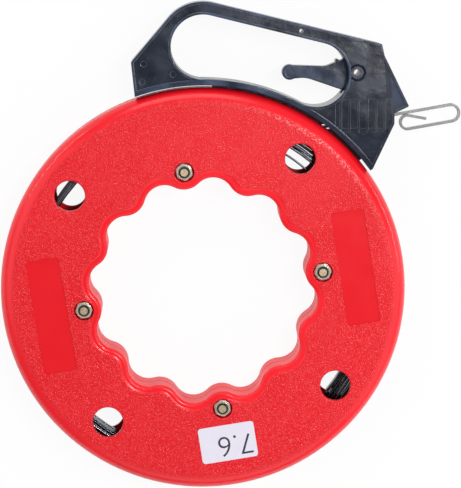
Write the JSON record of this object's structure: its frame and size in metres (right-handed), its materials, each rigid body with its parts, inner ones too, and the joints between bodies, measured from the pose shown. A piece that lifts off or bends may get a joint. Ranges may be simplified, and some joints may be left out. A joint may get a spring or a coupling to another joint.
{
  "type": "fish tape reel",
  "caption": "Round hand-held reel of flat steel pulling tape: a spinning case with a wavy hub, a D handle with a brake trigger, and a hook at the nose.",
  "frame": {"origin": "on the reel's axis, in the plane of the back face, which the reel lies on", "axes": "+Z along the reel's axis out of the front face, +Y from the axis towards the grip, +X towards the side that the tape leaves by"},
  "size_m": [0.2315, 0.2466, 0.0264],
  "materials": {
    "case_plastic": "moulded, fine grain on the flat faces, glossy rim",
    "bolt_steel": "zinc plated, yellow",
    "nut_steel": "zinc plated",
    "insert_nylon": "nylon",
    "label_film": "printed film",
    "tape_steel": "blued spring steel",
    "clip_steel": "plain",
    "hook_steel": "ground bright where it is bent",
    "guide_nylon": "nylon",
    "handle_plastic": "moulded, semi-gloss",
    "screw_steel": "black zinc",
    "trigger_plastic": "moulded, semi-gloss",
    "rivet_steel": "blackened",
    "shoe_nylon": "nylon",
    "pad_rubber": "moulded",
    "spring_steel": "spring temper"
  },
  "bodies": {
    "case": {"case_front": "case_plastic", "case_back": "case_plastic", "case_bolts": "bolt_steel", "case_nuts": "nut_steel", "nut_inserts": "insert_nylon", "length_label": "label_film", "tape_coil": "tape_steel", "tape_anchor": "clip_steel"},
    "handle": {"handle_front": "handle_plastic", "handle_rear": "handle_plastic", "handle_screws": "screw_steel", "trigger_pivot": "rivet_steel", "tape_feed": "tape_steel", "tape_guide": "guide_nylon", "brake_spring": "spring_steel"},
    "trigger": {"trigger": "trigger_plastic"},
    "brake": {"brake_shoe": "shoe_nylon", "brake_pad": "pad_rubber"},
    "tape_end": {"tape_end": "hook_steel"}
  },
  "joints": [
    {"name": "case_spin", "type": "hinge", "parent": "case", "child": "handle", "pos_m": [0, 0, 0.013], "axis": [0, 0, 1], "continuous": true},
    {"name": "trigger_pull", "type": "hinge", "parent": "handle", "child": "trigger", "pos_m": [0.07667, 0.10927, 0.013], "axis": [0, 0, -1], "range_deg": [0, 20], "stiffness_Nm_per_rad": 0.05},
    {"name": "brake_press", "type": "slide", "parent": "handle", "child": "brake", "axis": [0.1736, -0.9848, 0], "range_m": [0, 0.0025], "deforming": ["brake_spring"]},
    {"name": "tape_pull", "type": "slide", "parent": "handle", "child": "tape_end", "axis": [0.9848, 0.1736, 0], "range_m": [0, 0.025]}
  ],
  "couplings": [
    {"joint": "brake_press", "follows": "trigger_pull", "m_per_rad": 0.00716}
  ]
}
